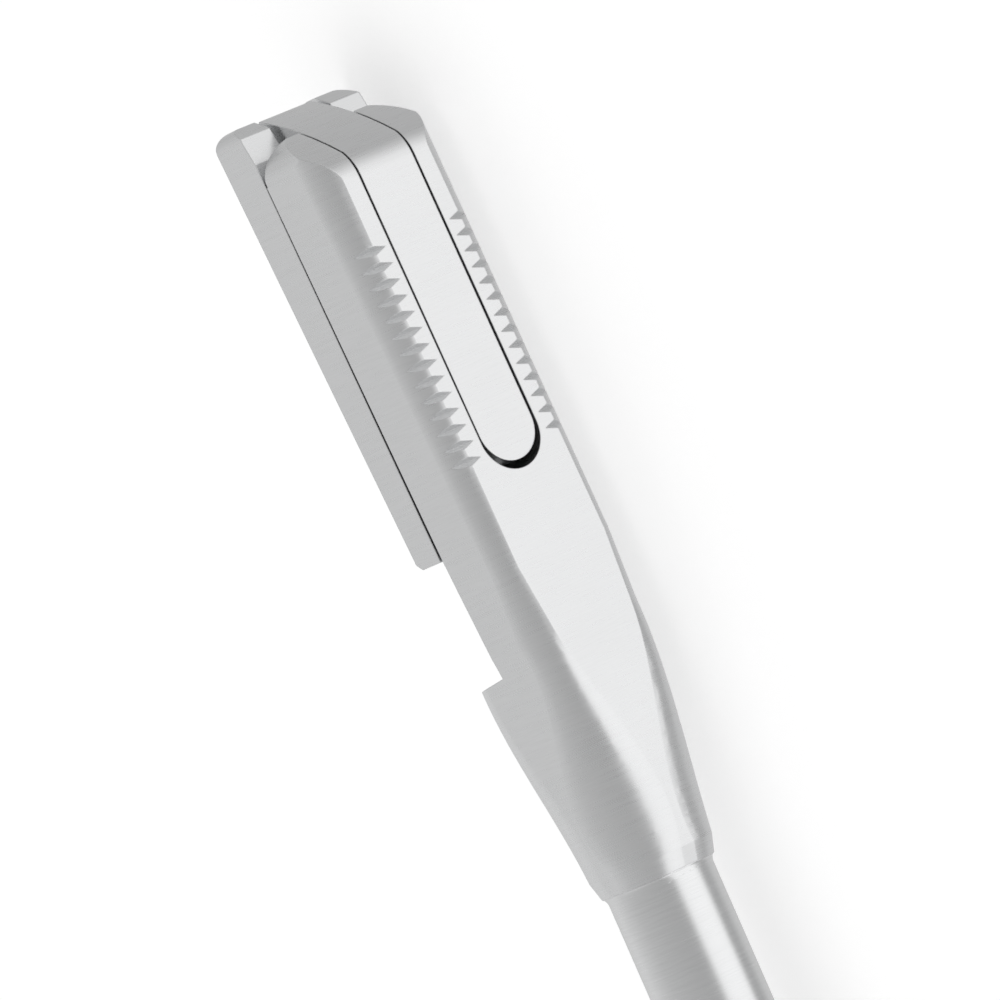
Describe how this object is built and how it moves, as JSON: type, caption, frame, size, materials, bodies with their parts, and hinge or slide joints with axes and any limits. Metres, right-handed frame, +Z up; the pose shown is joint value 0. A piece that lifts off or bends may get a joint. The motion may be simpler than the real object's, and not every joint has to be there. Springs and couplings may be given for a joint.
{
  "type": "punch forceps",
  "caption": "Backward-cutting punch forceps: slotted head with serrated corners, hinged back jaw, sliding tongue, round shaft and ring handles",
  "frame": {"origin": "on the resting face of the handle's hub, straight below the shaft's axis when the instrument lies on its side", "axes": "+X along the shaft to the tip, +Y to the instrument's back, to which the jaw opens, +Z up from the surface it lies on"},
  "size_m": [0.1713, 0.0853, 0.0071],
  "materials": {
    "head_steel": "fine matt satin across the head",
    "shaft_steel": "smooth satin",
    "handle_steel": "satin",
    "pin_steel": "ground bright"
  },
  "bodies": {
    "frame_unit": {"punch_head": "head_steel", "jaw_pin": "pin_steel", "shaft_tube": "shaft_steel", "rod_guide_rear": "shaft_steel", "rod_guide_front": "shaft_steel", "shaft_collar": "handle_steel", "collar_set_screw": "pin_steel", "fixed_handle": "handle_steel", "pivot_screw": "pin_steel", "pivot_nut": "pin_steel", "left_washer": "pin_steel", "right_washer": "pin_steel", "opening_stop": "pin_steel"},
    "slide_unit": {"slide": "head_steel", "slide_rod_pin": "pin_steel", "pull_rod": "pin_steel", "rod_end": "pin_steel", "rod_lock_nut": "pin_steel"},
    "jaw_unit": {"back_jaw": "head_steel", "link_pin": "pin_steel"},
    "thumb_unit": {"thumb_handle": "handle_steel", "rod_end_pin": "pin_steel"}
  },
  "joints": [
    {"name": "handle_pivot", "type": "hinge", "parent": "frame_unit", "child": "thumb_unit", "pos_m": [-0.013, -0.00565, 0.0035], "axis": [0, 0, 1], "range_deg": [-22, 0]},
    {"name": "slide_travel", "type": "slide", "parent": "frame_unit", "child": "slide_unit", "axis": [1, 0, 0], "range_m": [0, 0.00204]},
    {"name": "jaw_hinge", "type": "hinge", "parent": "frame_unit", "child": "jaw_unit", "pos_m": [0.12465, -0.00045, 0.0035], "axis": [0, 0, 1], "range_deg": [-55.1, 0]}
  ],
  "couplings": [
    {"joint": "slide_travel", "follows": "handle_pivot", "m_per_rad": -0.005287},
    {"joint": "jaw_hinge", "follows": "handle_pivot", "ratio": 2.5}
  ]
}
